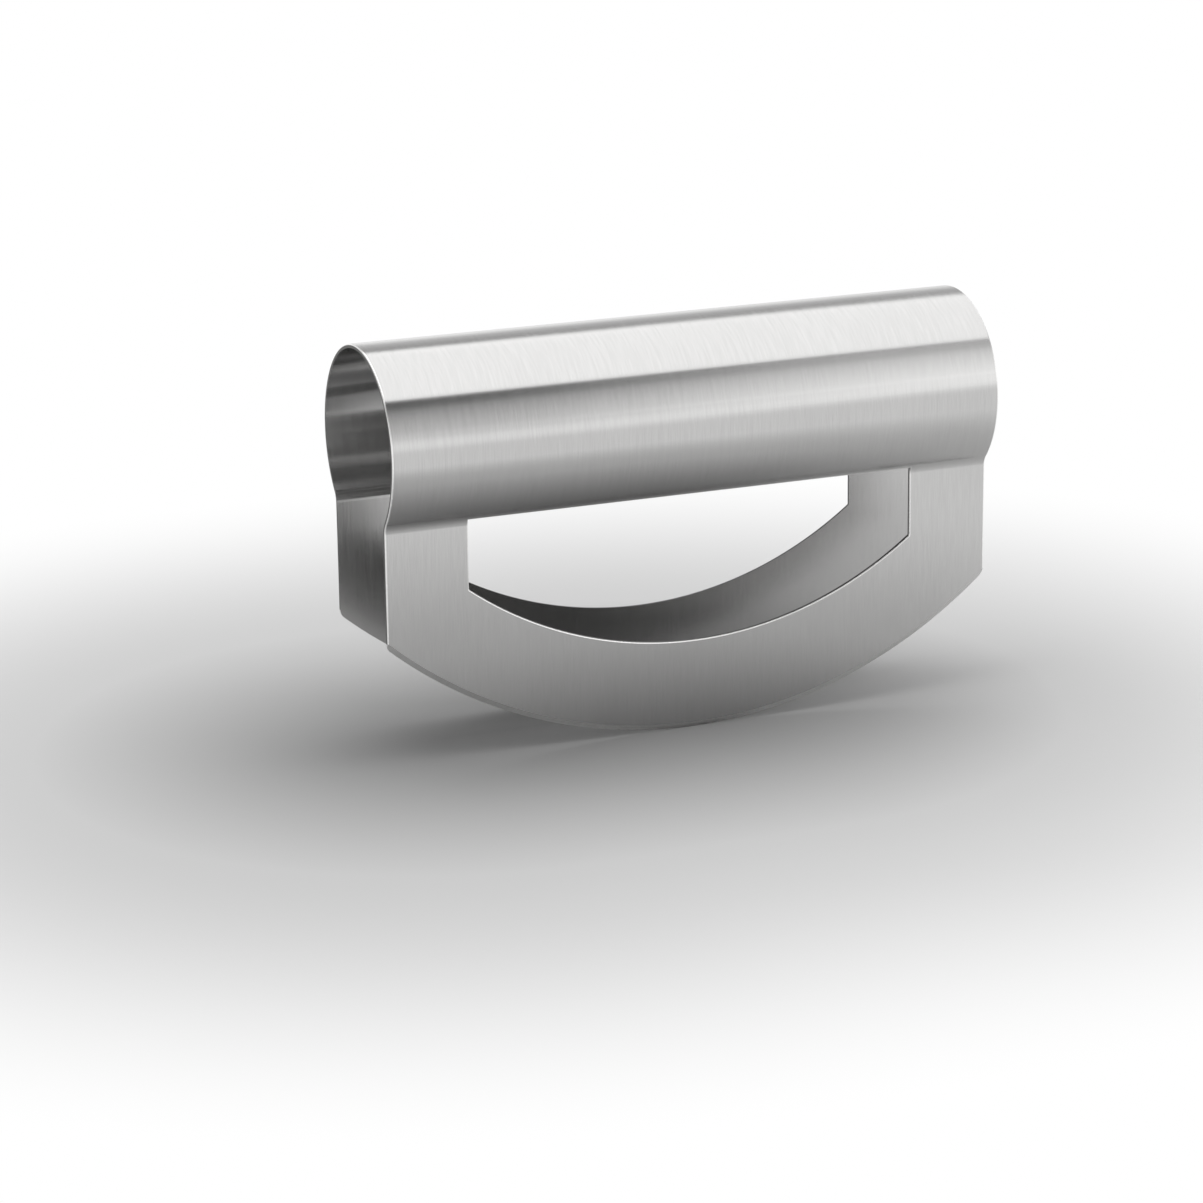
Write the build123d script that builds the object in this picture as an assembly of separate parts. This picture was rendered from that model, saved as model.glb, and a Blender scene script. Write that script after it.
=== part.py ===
from build123d import *
import math
import os

# A double-bladed mezzaluna folded from one sheet of steel. Millimetres, +Z up, X along the blades.
# The origin is the middle of the underside: the lowest points of the two cutting edges are at Z = 0.

# Sheet
length = 160.0            # along the blades, end to end
sheet = 1.0               # thickness of the steel

# Grip
grip_diameter = 48.4      # outside of the rolled tube
neck_bend_radius = 4.0    # outside face of the bend where the tube turns down into a blade
lip_rise = 1.6            # the tube's lower lip lies this far above the bend lines, over the window

# Blades
blade_inset = 6.7         # each blade's outside face lies this far inside the grip's side
blade_height = 58.0       # lowest point of the edge to the bend line
edge_rise = 29.7          # the edge's ends lie this far above its lowest point
tip_radius = 2.4          # rounded corners at the ends of the edge

# Finger windows
tab_width = 21.0          # the end tabs that carry the grip
web_height = 22.4         # steel left under the middle of the window
window_rise = 19.8        # the window's lower corners lie this far above the middle of its foot
window_corner_radius = 0.5

# Ground edge
bevel_width = 1.3         # the ground band on the outside face, across the edge
edge_land = 0.12          # thickness left at the cutting edge

overrun = 5.0             # how far a cutter passes the surface that it cuts

# Worked out from the sizes above
grip_radius = grip_diameter / 2
blade_spacing = grip_diameter - 2 * blade_inset
half_spacing = blade_spacing / 2
half_length = length / 2
bend_centre_y = half_spacing + neck_bend_radius
neck_drop = math.sqrt((grip_radius + neck_bend_radius) ** 2 - bend_centre_y ** 2)
neck_angle = math.degrees(math.atan2(neck_drop, bend_centre_y))
grip_centre_z = blade_height + neck_drop
lip_z = blade_height + lip_rise
window_half = half_length - tab_width
edge_radius = (half_length ** 2 + edge_rise ** 2) / (2 * edge_rise)


def fold_line(inset):
    """The section of the folded sheet above the bend lines, this far in from the outside face."""
    neck_radius = neck_bend_radius + inset
    half_turn = 180
    over = CenterArc((0, grip_centre_z), grip_radius - inset, -neck_angle, half_turn + 2 * neck_angle)
    right = CenterArc((bend_centre_y, blade_height), neck_radius, half_turn - neck_angle, neck_angle)
    left = CenterArc((-bend_centre_y, blade_height), neck_radius, 0, neck_angle)
    return [right, over, left]


def make_handle():
    """The rolled tube with its neck bends, cut back to a straight lip between the end tabs."""
    outside = fold_line(0)
    inside = fold_line(sheet)
    feet = [
        Line((half_spacing, blade_height), (half_spacing - sheet, blade_height)),
        Line((-half_spacing, blade_height), (-half_spacing + sheet, blade_height)),
    ]
    section = make_face(outside + inside + feet)
    tube = extrude(Plane.YZ * section, half_length, both=True)
    window = Pos(0, 0, lip_z) * Box(
        2 * window_half, blade_spacing + overrun, 2 * lip_rise + overrun,
        align=(Align.CENTER, Align.CENTER, Align.MAX))
    return tube - window


def blade_outline():
    """The front view of a blade: tabs, window and curved edge, with its corners rounded."""
    window_corner_z = web_height + window_rise
    plate = make_face([
        Line((-half_length, blade_height), (-half_length, edge_rise)),
        ThreePointArc((-half_length, edge_rise), (0, 0), (half_length, edge_rise)),
        Line((half_length, edge_rise), (half_length, blade_height)),
        Line((half_length, blade_height), (window_half, blade_height)),
        Line((window_half, blade_height), (window_half, window_corner_z)),
        ThreePointArc((window_half, window_corner_z), (0, web_height), (-window_half, window_corner_z)),
        Line((-window_half, window_corner_z), (-window_half, blade_height)),
        Line((-window_half, blade_height), (-half_length, blade_height)),
    ])
    plate = Sketch() + plate
    tips = [v for v in plate.vertices() if abs(abs(v.X) - half_length) < sheet and v.Y < blade_height - sheet]
    plate = fillet(tips, tip_radius)
    corners = [v for v in plate.vertices() if abs(abs(v.X) - window_half) < sheet and v.Y < blade_height - sheet]
    return fillet(corners, window_corner_radius)


def make_front_blade():
    """One flat blade. Its edge is ground from the outside face, down to the land at the inside face."""
    face = Plane.XZ.offset(half_spacing) * blade_outline()
    plate = extrude(face, -sheet)
    land_y = -half_spacing + sheet - edge_land
    ground = make_face(Polyline(
        (-half_spacing, bevel_width),
        (land_y, 0),
        (land_y, -overrun),
        (-half_spacing - overrun, -overrun),
        (-half_spacing - overrun, bevel_width),
        close=True))
    wheel = revolve(Plane.YZ * ground, Axis((0, 0, edge_radius), (0, 1, 0)))
    return plate - wheel


front_blade = make_front_blade()
pieces = {
    "handle": make_handle(),
    "front_blade": front_blade,
    "rear_blade": mirror(front_blade, about=Plane.XZ),
}

os.makedirs("parts", exist_ok=True)
for name, piece in pieces.items():
    export_step(piece, f"parts/{name}.step")

print("overall height", round(grip_centre_z + grip_radius, 2))
print("edge radius", round(edge_radius, 2))
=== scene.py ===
import math

import bmesh
import bpy
from mathutils import Matrix, Vector


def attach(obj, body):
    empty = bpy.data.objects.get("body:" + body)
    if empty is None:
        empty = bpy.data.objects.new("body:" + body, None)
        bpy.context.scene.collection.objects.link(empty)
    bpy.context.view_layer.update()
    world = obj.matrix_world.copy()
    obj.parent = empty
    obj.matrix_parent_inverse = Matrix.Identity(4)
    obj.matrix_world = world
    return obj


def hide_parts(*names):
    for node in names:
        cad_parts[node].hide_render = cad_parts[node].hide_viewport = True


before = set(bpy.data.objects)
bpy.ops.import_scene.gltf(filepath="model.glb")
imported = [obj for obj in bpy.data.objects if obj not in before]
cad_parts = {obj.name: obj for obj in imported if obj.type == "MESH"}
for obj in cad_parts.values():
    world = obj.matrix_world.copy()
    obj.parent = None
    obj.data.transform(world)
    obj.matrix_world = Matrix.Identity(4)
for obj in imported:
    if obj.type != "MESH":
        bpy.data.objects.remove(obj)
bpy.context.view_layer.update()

# A double-bladed mezzaluna folded from one sheet of brushed steel, as its CAD part has it.
# Metres, +Z up, X along the blades; the cutting edges' lowest points are at Z = 0.
MM = 0.001

# Sheet and fold, the same sizes as the solids
HALF_LENGTH = 80.0 * MM
SHEET = 1.0 * MM
GRIP_RADIUS = 24.2 * MM
NECK_RADIUS = 4.0 * MM
LIP_RISE = 1.6 * MM
HALF_SPACING = 17.5 * MM
BLADE_HEIGHT = 58.0 * MM
EDGE_RISE = 29.7 * MM
TIP_RADIUS = 2.4 * MM
WINDOW_HALF = 59.0 * MM
WEB_HEIGHT = 22.4 * MM
WINDOW_RISE = 19.8 * MM
WINDOW_CORNER = 0.5 * MM
GROUND_WIDTH = 1.3 * MM
EDGE_LAND = 0.12 * MM

BEND_Y = HALF_SPACING + NECK_RADIUS
NECK_DROP = math.sqrt((GRIP_RADIUS + NECK_RADIUS) ** 2 - BEND_Y ** 2)
NECK_ANGLE = math.atan2(NECK_DROP, BEND_Y)
GRIP_Z = BLADE_HEIGHT + NECK_DROP
EDGE_RADIUS = (HALF_LENGTH ** 2 + EDGE_RISE ** 2) / (2 * EDGE_RISE)
WINDOW_RADIUS = (WINDOW_HALF ** 2 + WINDOW_RISE ** 2) / (2 * WINDOW_RISE)

# The outside face rolls over into each cut face, as punching leaves it; the inside edge stays square
RIM_RADIUS = 0.30 * MM
RIM_CLEARANCE = 1.5        # the neck's rows start this many rim radii above the lip
GROUND_BLEND = 0.6         # a rim is all ground where the grinding takes this share of its full depth

# Mesh fineness
FOOT_STEPS = 10            # from the bend line to the lip
FOOT_CROWDING = 1.5        # draws those rows towards the bend line
NECK_STEPS = 8             # from the lip's rolled rim to the tube
TUBE_STEPS = 104           # half of the tube
EDGE_STEPS = 120           # along a cutting edge or a window's foot
CORNER_STEPS = 10          # round a corner
GROUND_STEPS = 4           # where a rolled rim passes into the ground band
RIM_STEPS = 5              # across a rolled rim
CREASE = math.radians(25)  # a sharper turn than this shades as an edge

BODY = "root"


def make_camera():
    """The photograph's viewpoint, solved from points on the object."""
    azimuth, elevation, roll = (math.radians(angle) for angle in (-22.766, 15.839, -0.704))
    target = Vector((-17.40, 0, 29.77)) * MM
    distance = 983.1 * MM
    focal_pixels, image_pixels = 3967.27, 1203
    back = Vector((
        math.sin(azimuth) * math.cos(elevation),
        -math.cos(azimuth) * math.cos(elevation),
        math.sin(elevation)))
    right = Vector((0, 0, 1)).cross(back).normalized()
    up = back.cross(right)
    rolled_right = right * math.cos(roll) + up * math.sin(roll)
    rolled_up = up * math.cos(roll) - right * math.sin(roll)
    data = bpy.data.cameras.new("camera")
    data.sensor_width = 36
    data.lens = focal_pixels / image_pixels * data.sensor_width
    data.clip_start, data.clip_end = 0.05, 50
    camera = bpy.data.objects.new("camera", data)
    bpy.context.scene.collection.objects.link(camera)
    turn = Matrix((rolled_right, rolled_up, back)).transposed().to_4x4()
    camera.matrix_world = Matrix.Translation(target + back * distance) @ turn
    bpy.context.scene.camera = camera


make_camera()
bpy.context.scene.view_settings.view_transform = "Standard"


# ---- materials ----

def add_node(tree, kind, inputs=None, **settings):
    """Adds a shader node, sets its own settings, and sets or links its inputs."""
    made = tree.nodes.new("ShaderNode" + kind)
    for name, value in settings.items():
        setattr(made, name, value)
    for key, value in (inputs or {}).items():
        if isinstance(value, bpy.types.NodeSocket):
            tree.links.new(value, made.inputs[key])
        else:
            made.inputs[key].default_value = value
    return made


def new_tree(name):
    material = bpy.data.materials.new(name)
    material.use_nodes = True
    material.node_tree.nodes.clear()
    return material, material.node_tree


def noise(tree, vector, cell, detail=2.0):
    """A noise whose cells are this large along x, y and z, in metres. Gives 0 to 1."""
    scaled = add_node(tree, "VectorMath", {0: vector, 1: [1 / size for size in cell]}, operation="MULTIPLY")
    made = add_node(tree, "TexNoise", {"Vector": scaled.outputs[0], "Scale": 1.0, "Detail": detail})
    return made.outputs["Fac"]


def math_node(tree, operation, first, second=0.0, third=0.0):
    return add_node(tree, "Math", {0: first, 1: second, 2: third}, operation=operation).outputs[0]


def blend_sum(tree, *parts):
    """Adds up (value, weight) pairs."""
    total = 0.0
    for value, weight in parts:
        total = math_node(tree, "MULTIPLY_ADD", value, weight, total)
    return total


def spread(tree, value, low, high, out_low, out_high):
    made = add_node(tree, "MapRange", {
        "Value": value, "From Min": low, "From Max": high, "To Min": out_low, "To Max": out_high})
    return made.outputs["Result"]


def edge_wear(tree, here, reach):
    """0 on open faces, up to 1 within this distance of a rim.

    The bend line between two pieces isn't a rim.
    """
    rounded = add_node(tree, "Bevel", {"Radius": reach}, samples=4)
    flat = add_node(tree, "NewGeometry")
    dot = add_node(tree, "VectorMath", {0: rounded.outputs["Normal"], 1: flat.outputs["Normal"]},
                   operation="DOT_PRODUCT")
    rim = spread(tree, dot.outputs["Value"], 0.94, 0.78, 0.0, 1.0)
    height = add_node(tree, "SeparateXYZ", {0: here}).outputs["Z"]
    from_bend = math_node(tree, "ABSOLUTE", math_node(tree, "SUBTRACT", height, BLADE_HEIGHT))
    return math_node(tree, "MULTIPLY", rim, spread(tree, from_bend, reach, 2 * reach, 0.0, 1.0))


def mix_colour(tree, factor, low, high):
    """A colour between two, or between a socket and a colour."""
    made = tree.nodes.new("ShaderNodeMix")
    made.data_type = "RGBA"
    sockets = {s.name: s for s in made.inputs if s.enabled}
    for name, value in (("Factor", factor), ("A", low), ("B", high)):
        if isinstance(value, bpy.types.NodeSocket):
            tree.links.new(value, sockets[name])
        else:
            sockets[name].default_value = value if name == "Factor" else (*value, 1.0)
    return next(s for s in made.outputs if s.enabled)


def brushed_steel():
    """Long-grain brushing: the lines run round the grip and down the blades, square to X."""
    material, tree = new_tree("brushed_steel")
    here = add_node(tree, "TexCoord").outputs["Object"]
    hairline = noise(tree, here, (0.22 * MM, 6 * MM, 6 * MM), 3.0)
    streak = noise(tree, here, (0.7 * MM, 14 * MM, 14 * MM), 2.0)
    cloud = noise(tree, here, (16 * MM, 22 * MM, 22 * MM), 3.0)
    patchy = spread(tree, cloud, 0.35, 0.65, 0.35, 1.0)
    wear = math_node(tree, "MULTIPLY", edge_wear(tree, here, 0.2 * MM), patchy)
    tone = blend_sum(tree, (hairline, 0.55), (streak, 0.25), (cloud, 0.20))
    shade = spread(tree, tone, 0.40, 0.60, 0.0, 1.0)
    base = mix_colour(tree, shade, (0.522, 0.519, 0.515), (0.560, 0.557, 0.553))
    colour = mix_colour(tree, wear, base, (0.62, 0.617, 0.613))
    grain = blend_sum(tree, (hairline, 0.3), (streak, 0.4), (cloud, 0.3))
    rough = spread(tree, grain, 0.40, 0.60, 0.195, 0.215)
    lines = blend_sum(tree, (hairline, 0.6), (streak, 0.4))
    bump = add_node(tree, "Bump", {"Height": lines, "Strength": 0.04, "Distance": 0.01 * MM})
    around = add_node(tree, "Tangent", direction_type="RADIAL", axis="X")
    shader = add_node(tree, "BsdfPrincipled", {
        "Base Color": colour, "Metallic": 1.0, "Roughness": rough,
        "Anisotropic": 1.0, "Anisotropic Rotation": 0.25, "Tangent": around.outputs[0],
        "Normal": bump.outputs[0]})
    add_node(tree, "OutputMaterial", {"Surface": shader.outputs[0]})
    return material


def plain_steel(name, low, high, roughness, cell, bump_strength):
    """Steel between two tones, with fine lines or specks of this cell size."""
    material, tree = new_tree(name)
    here = add_node(tree, "TexCoord").outputs["Object"]
    lines = noise(tree, here, cell, 2.0)
    patch = noise(tree, here, (4 * MM, 4 * MM, 4 * MM), 2.0)
    tone = blend_sum(tree, (lines, 0.6), (patch, 0.4))
    colour = mix_colour(tree, spread(tree, tone, 0.35, 0.65, 0.0, 1.0), low, high)
    rough = spread(tree, tone, 0.35, 0.65, *roughness)
    bump = add_node(tree, "Bump", {"Height": lines, "Strength": bump_strength, "Distance": 0.02 * MM})
    shader = add_node(tree, "BsdfPrincipled", {
        "Base Color": colour, "Metallic": 1.0, "Roughness": rough, "Normal": bump.outputs[0]})
    add_node(tree, "OutputMaterial", {"Surface": shader.outputs[0]})
    return material


def cut_steel():
    """The sheet's cut faces: dull and dark, with short lines across the thickness."""
    low, high = (0.07, 0.069, 0.067), (0.13, 0.128, 0.125)
    return plain_steel("cut_steel", low, high, (0.42, 0.52), (0.14 * MM, 0.5 * MM, 0.14 * MM), 0.2)


def rolled_steel():
    """The rolled rims, rubbed brighter than the brushed faces beside them."""
    low, high = (0.78, 0.776, 0.77), (0.88, 0.876, 0.87)
    return plain_steel("rolled_steel", low, high, (0.20, 0.28), (0.5 * MM, 0.5 * MM, 0.5 * MM), 0.1)


def ground_steel():
    """The ground band: fine grinding lines square to the cutting edge."""
    material, tree = new_tree("ground_steel")
    here = add_node(tree, "TexCoord").outputs["Object"]
    axes = add_node(tree, "SeparateXYZ", {0: here})
    above = math_node(tree, "SUBTRACT", EDGE_RADIUS, axes.outputs["Z"])
    turn = math_node(tree, "ARCTAN2", axes.outputs["X"], above)
    along = math_node(tree, "MULTIPLY", turn, EDGE_RADIUS)
    place = add_node(tree, "CombineXYZ", {"X": along, "Y": axes.outputs["Y"], "Z": 0.0}).outputs[0]
    line = noise(tree, place, (0.20 * MM, 3 * MM, 3 * MM), 2.0)
    patch = noise(tree, place, (5 * MM, 5 * MM, 5 * MM), 2.0)
    tone = blend_sum(tree, (line, 0.6), (patch, 0.4))
    shade = spread(tree, tone, 0.35, 0.65, 0.0, 1.0)
    colour = mix_colour(tree, shade, (0.66, 0.655, 0.645), (0.71, 0.705, 0.70))
    rough = spread(tree, tone, 0.35, 0.65, 0.28, 0.34)
    bump = add_node(tree, "Bump", {"Height": line, "Strength": 0.06, "Distance": 0.01 * MM})
    shader = add_node(tree, "BsdfPrincipled", {
        "Base Color": colour, "Metallic": 1.0, "Roughness": rough, "Normal": bump.outputs[0]})
    add_node(tree, "OutputMaterial", {"Surface": shader.outputs[0]})
    return material


# ---- the folded sheet ----

def arc(centre, radius, start, end, steps):
    """Points on an arc in a plane, both ends included, its angles anticlockwise from the first axis."""
    angles = [start + (end - start) * i / steps for i in range(steps + 1)]
    return [(centre[0] + radius * math.cos(a), centre[1] + radius * math.sin(a)) for a in angles]


def rolled_profile():
    """(distance in from the rim, depth below the outside face) down a rolled rim, from the outside face."""
    turns = [math.pi / 2 * i / RIM_STEPS for i in range(RIM_STEPS + 1)]
    return [(RIM_RADIUS * (1 - math.sin(turn)), RIM_RADIUS * (1 - math.cos(turn))) for turn in turns]


def fold_section(rise, inset):
    """(y, z) points along the folded sheet from foot to foot, this far in from its outside face.

    The lip's row is level and raised by rise; the rows above it keep their angles for every inset.
    """
    neck = NECK_RADIUS + inset
    lip = math.asin((LIP_RISE + rise) / neck)
    clear = math.asin(LIP_RISE / NECK_RADIUS) + RIM_CLEARANCE * RIM_RADIUS / NECK_RADIUS
    angles = [lip * (i / FOOT_STEPS) ** FOOT_CROWDING for i in range(FOOT_STEPS + 1)]
    angles += [clear + (NECK_ANGLE - clear) * i / NECK_STEPS for i in range(NECK_STEPS)]
    half = [(BEND_Y - neck * math.cos(a), BLADE_HEIGHT + neck * math.sin(a)) for a in angles]
    half += arc((0, GRIP_Z), GRIP_RADIUS - inset, -NECK_ANGLE, math.pi / 2, TUBE_STEPS)
    return half + [(-y, z) for y, z in reversed(half[:-1])]


def add_face(mesh, corners, finish):
    """Makes a face from its corners, leaving out any corner given twice."""
    corners = list(dict.fromkeys(corners))
    if len(corners) > 2:
        mesh.faces.new(corners).material_index = finish


# The order of the finishes on every piece
BRUSHED, ROLLED, CUT, GROUND = range(4)


def rim_finish(step):
    """The finish of the strip that starts at this ring: the rolled rim, then the cut face."""
    return ROLLED if step < RIM_STEPS else CUT


def build_handle(mesh):
    """The tube and its neck bends, cut back to a lip between the end tabs.

    The skins are grids, the outside one first and the inside one last. Those between them give the
    rolled rims and the cut faces.
    """
    rings = []
    for away, depth in rolled_profile() + [(0, SHEET)]:
        columns = (-HALF_LENGTH + away, -WINDOW_HALF - away, WINDOW_HALF + away, HALF_LENGTH - away)
        rings.append([[mesh.verts.new((x, y, z)) for x in columns] for y, z in fold_section(away, depth)])
    last = len(rings[0]) - 1
    lips = (FOOT_STEPS, last - FOOT_STEPS)
    for i in range(last):
        tab = i < lips[0] or i >= lips[1]
        for skin in (rings[0], rings[-1]):
            for c in (0, 2) if tab else (0, 1, 2):
                add_face(mesh, (skin[i][c], skin[i][c + 1], skin[i + 1][c + 1], skin[i + 1][c]), BRUSHED)
        for k in range(RIM_STEPS + 1):
            outer, inner = rings[k], rings[k + 1]
            for c in (0, 1, 2, 3) if tab else (0, 3):
                add_face(mesh, (outer[i][c], outer[i + 1][c], inner[i + 1][c], inner[i][c]), rim_finish(k))
    for k in range(RIM_STEPS + 1):
        for i in lips:
            outer, inner = rings[k][i], rings[k + 1][i]
            add_face(mesh, (outer[1], outer[2], inner[2], inner[1]), rim_finish(k))
    for i in (0, last):
        for c in (0, 2):
            left, right = ([ring[i][side] for ring in rings] for side in (c, c + 1))
            add_face(mesh, left + right[::-1], BRUSHED)
    for vert in [v for v in mesh.verts if not v.link_faces]:
        mesh.verts.remove(vert)


def bowl(half, radius, low, corner):
    """(x, z) points along a curved foot between two upright sides, from left to right.

    Its middle is at low, and its corners are rounded.
    """
    centre_z = low + radius
    corner_x = half - corner
    corner_z = centre_z - math.sqrt((radius - corner) ** 2 - corner_x ** 2)
    turn = math.asin(corner_x / (radius - corner))
    down = -math.pi / 2
    left = arc((-corner_x, corner_z), corner, -math.pi, down - turn, CORNER_STEPS)
    foot = arc((0, centre_z), radius, down - turn, down + turn, EDGE_STEPS)
    right = arc((corner_x, corner_z), corner, down + turn, 0, CORNER_STEPS)
    return left + foot[1:-1] + right


def edge_chain():
    """(x, z) points down a blade's left side, along its cutting edge and up its right side."""
    ground_top = EDGE_RADIUS - math.sqrt((EDGE_RADIUS - GROUND_WIDTH) ** 2 - HALF_LENGTH ** 2)
    edge = bowl(HALF_LENGTH, EDGE_RADIUS, 0, TIP_RADIUS)
    morph = [ground_top + (edge[0][1] - ground_top) * i / GROUND_STEPS for i in range(GROUND_STEPS)]
    left = [(-HALF_LENGTH, z) for z in [BLADE_HEIGHT] + morph]
    right = [(HALF_LENGTH, z) for z in morph[::-1] + [BLADE_HEIGHT]]
    return left + edge + right


def window_chain():
    """(x, z) points down a window's left side, along its foot and up its right side."""
    foot = bowl(WINDOW_HALF, WINDOW_RADIUS, WEB_HEIGHT, WINDOW_CORNER)
    return [(-WINDOW_HALF, BLADE_HEIGHT)] + foot + [(WINDOW_HALF, BLADE_HEIGHT)]


def rim_rings(mesh, chain, steel_side, place):
    """Vertices along a chain of rim points, ring by ring from the outside face to the inside one.

    steel_side is 1 where the steel lies on the left of the chain, -1 where it lies on the right.
    Where the edge is ground, the rings run down the ground band instead of over a rolled rim.
    Gives the rings, and how far each point is ground, 0 to 1.
    """
    centre = Vector((0, EDGE_RADIUS))
    ground_start = EDGE_RADIUS - GROUND_WIDTH
    full_cut = SHEET - EDGE_LAND
    points = [Vector(point) for point in chain]
    rings = [[] for _ in range(RIM_STEPS + 2)]
    shares = []
    for i, point in enumerate(points):
        along = (points[min(i + 1, len(points) - 1)] - points[max(i - 1, 0)]).normalized()
        if i in (1, len(points) - 2):       # still on the straight side
            along = Vector((0, -1 if i == 1 else 1))
        into = Vector((-along.y, along.x)) * steel_side
        reach = (point - centre).length
        cut = min(max((reach - ground_start) / GROUND_WIDTH, 0), 1) * full_cut
        share = min(cut / (GROUND_BLEND * full_cut), 1)
        crease = centre + (point - centre) * min(ground_start / reach, 1)
        shares.append(share)
        for k, (away, depth) in enumerate(rolled_profile()):
            rolled = point + into * away
            ground = crease.lerp(point, k / RIM_STEPS)
            spot = rolled.lerp(ground, share)
            rings[k].append(place(spot, depth * (1 - share) + cut * k / RIM_STEPS * share))
        rings[-1].append(place(point, SHEET))
    return rings, shares


def build_blade(mesh, side):
    """A flat blade, side -1 in front and 1 behind.

    Its edge is ground from the outside face down to the land at the inside face.
    """
    def place(point, depth):
        return mesh.verts.new((point.x, side * (HALF_SPACING - depth), point.y))

    edge, shares = rim_rings(mesh, edge_chain(), 1, place)
    window, _ = rim_rings(mesh, window_chain(), -1, place)
    for rings, ground in ((edge, shares), (window, None)):
        for k in range(RIM_STEPS + 1):
            for i in range(len(rings[0]) - 1):
                sharpened = ground is not None and ground[i] + ground[i + 1] > 1
                outer, inner = rings[k], rings[k + 1]
                add_face(mesh, (outer[i], outer[i + 1], inner[i + 1], inner[i]),
                         GROUND if sharpened else rim_finish(k))
    for k in (0, -1):
        add_face(mesh, edge[k] + window[k][::-1], BRUSHED)
    for end in (0, -1):
        add_face(mesh, [ring[end] for ring in edge] + [ring[end] for ring in reversed(window)], BRUSHED)


def make_piece(name, node, build, materials):
    """Builds a closed mesh with its finishes, and puts it in the place of a CAD node."""
    mesh = bmesh.new()
    build(mesh)
    bmesh.ops.recalc_face_normals(mesh, faces=mesh.faces)
    for edge in mesh.edges:
        one_finish = len({face.material_index for face in edge.link_faces}) == 1
        edge.smooth = one_finish and edge.calc_face_angle(math.pi) < CREASE
    for face in mesh.faces:
        face.smooth = True
    data = bpy.data.meshes.new(name)
    mesh.to_mesh(data)
    mesh.free()
    piece = bpy.data.objects.new(name, data)
    bpy.context.scene.collection.objects.link(piece)
    for material in materials:
        data.materials.append(material)
    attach(piece, BODY)
    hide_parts(node)


finishes = (brushed_steel(), rolled_steel(), cut_steel(), ground_steel())
make_piece("folded_handle", "handle", build_handle, finishes)
make_piece("ground_front_blade", "front_blade", lambda mesh: build_blade(mesh, -1), finishes)
make_piece("ground_rear_blade", "rear_blade", lambda mesh: build_blade(mesh, 1), finishes)


# ---- studio ----

def grey(level):
    return (level, level, level)


def make_floor():
    """A pale floor with a painted pool of shade round the object, darkest under it, that keeps the object's
    shadow and fades into a white backdrop further off.

    The backdrop's white is what the camera and glossy or clear materials see; it lights nothing.
    Distances are measured from a line under the object, along X.
    """
    size = 12.0
    line_left, line_right = -0.06, 0.0
    # under is painted shade: the floor's colour at the line under the object, darker than the open floor
    under, open_floor, open_from = grey(0.26), grey(0.63), 0.10
    fade_from, fade_to, white = 0.095, 0.25, 1.0
    material, tree = new_tree("pale_floor_painted_shade")
    path = add_node(tree, "LightPath").outputs
    seen = math_node(tree, "MAXIMUM", path["Is Camera Ray"], path["Is Glossy Ray"])
    seen = math_node(tree, "MAXIMUM", seen, path["Is Transmission Ray"])
    strength = math_node(tree, "MULTIPLY", seen, white)
    glow = add_node(tree, "Emission", {"Color": (1, 1, 1, 1), "Strength": strength})
    axes = add_node(tree, "SeparateXYZ", {0: add_node(tree, "TexCoord").outputs["Object"]}).outputs
    nearest = math_node(tree, "MINIMUM", math_node(tree, "MAXIMUM", axes["X"], line_left), line_right)
    sideways = math_node(tree, "SUBTRACT", axes["X"], nearest)
    away = add_node(tree, "CombineXYZ", {"X": sideways, "Y": axes["Y"]}).outputs[0]
    reach = add_node(tree, "VectorMath", {0: away}, operation="LENGTH").outputs["Value"]
    # painted shade: the floor's colour darkens from open_floor to under towards the line under the object,
    # set a little towards -X
    tone = mix_colour(tree, spread(tree, reach, 0.0, open_from, 0.0, 1.0), under, open_floor)
    matt = add_node(tree, "BsdfDiffuse", {"Color": tone})
    fade = add_node(tree, "MapRange", {"Value": reach, "From Min": fade_from, "From Max": fade_to},
                    interpolation_type="SMOOTHSTEP")
    both = add_node(tree, "MixShader", {0: fade.outputs[0], 1: matt.outputs[0], 2: glow.outputs[0]})
    add_node(tree, "OutputMaterial", {"Surface": both.outputs[0]})
    half = size / 2
    corners = [(-half, -half, 0), (half, -half, 0), (half, half, 0), (-half, half, 0)]
    data = bpy.data.meshes.new("floor")
    data.from_pydata(corners, [], [(0, 1, 2, 3)])
    data.materials.append(material)
    floor = bpy.data.objects.new("floor", data)
    bpy.context.scene.collection.objects.link(floor)


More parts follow.
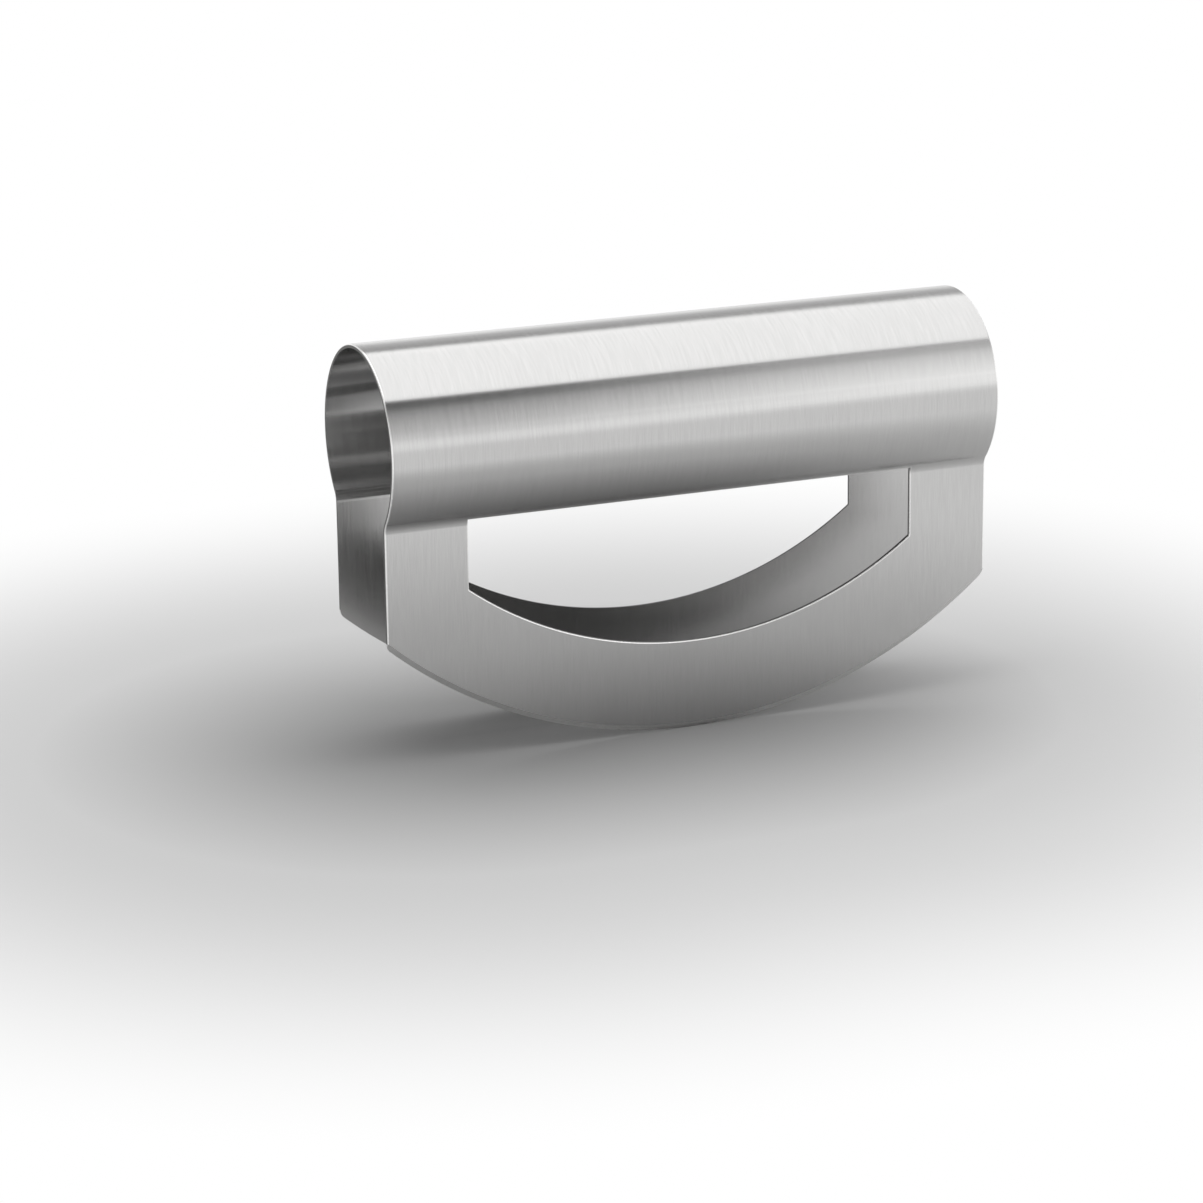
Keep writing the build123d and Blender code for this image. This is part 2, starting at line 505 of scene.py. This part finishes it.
def make_world():
    """A pale studio of long strips along X, bright near the horizon and dark under the overhead light.

    The strips close round the two ends, where the horizon's brightness takes over.
    """
    closing_from, closing_pace = 0.8, 3.0
    brightest = 1.22
    # (degrees above the horizon, brightness)
    levels = [
        (0, 1.05), (3, 1.18), (6, 1.22), (10, 1.12), (13, 0.98), (16, 0.84), (22, 0.68), (31, 0.58),
        (40, 0.44), (46, 0.32), (52, 0.08), (56, 0.03), (90, 0.03)]
    world = bpy.data.worlds.new("studio")
    bpy.context.scene.world = world
    world.use_nodes = True
    tree = world.node_tree
    tree.nodes.clear()
    axes = add_node(tree, "SeparateXYZ", {0: add_node(tree, "TexCoord").outputs["Generated"]}).outputs
    past_end = math_node(tree, "SUBTRACT", math_node(tree, "ABSOLUTE", axes["X"]), closing_from)
    closing = math_node(tree, "MULTIPLY", math_node(tree, "MAXIMUM", past_end, 0.0), closing_pace)
    ahead = math_node(tree, "MAXIMUM", math_node(tree, "ABSOLUTE", axes["Y"]), closing)
    climb = math_node(tree, "ARCTAN2", axes["Z"], ahead)
    ramp = add_node(tree, "ValToRGB", {0: math_node(tree, "DIVIDE", climb, math.pi / 2)})
    stops = ramp.color_ramp.elements
    while len(stops) < len(levels):
        stops.new(1.0)
    for stop, (degrees, level) in zip(stops, levels):
        stop.position = degrees / 90
        stop.color = (*grey(level / brightest), 1.0)
    sky = add_node(tree, "Background", {"Color": ramp.outputs[0], "Strength": brightest})
    add_node(tree, "OutputWorld", {"Surface": sky.outputs[0]})


def make_softbox(name, centre, size, facing, radiance):
    """An area light of this size that shows in the steel at this strength, where 1 is white."""
    data = bpy.data.lights.new(name, "AREA")
    data.shape = "RECTANGLE"
    data.size, data.size_y = size
    data.energy = radiance * math.pi * data.size * data.size_y
    box = bpy.data.objects.new(name, data)
    bpy.context.scene.collection.objects.link(box)
    box.location = centre
    box.rotation_mode = "QUATERNION"
    box.rotation_quaternion = Vector(facing).to_track_quat("-Z", "Y")
    box.visible_camera = False


def make_overhead():
    """A wide soft light above, a little behind the object."""
    make_softbox("overhead", (0, 0.137, 0.70), (1.8, 1.024), (0, 0, -1), 1.52)


def make_side_panel():
    """A panel in front on the right, bent round the grip, whose light fades out at its foot."""
    distance, left, right, radiance = 0.40, 0.16, 0.96, 0.88
    # (from and to, in degrees above the grip's axis, share of the radiance)
    strips = ((17, 57, 1.0), (13, 17, 0.75), (9, 13, 0.5), (5, 9, 0.25))
    for low, high, share in strips:
        middle, half = math.radians((low + high) / 2), math.radians((high - low) / 2)
        out = Vector((0, -math.cos(middle), math.sin(middle)))
        centre = Vector(((left + right) / 2, 0, GRIP_Z)) + out * distance
        size = (right - left, 2 * distance * math.tan(half))
        make_softbox(f"side_panel_{low}", centre, size, -out, radiance * share)


make_floor()
make_world()
make_overhead()
make_side_panel()
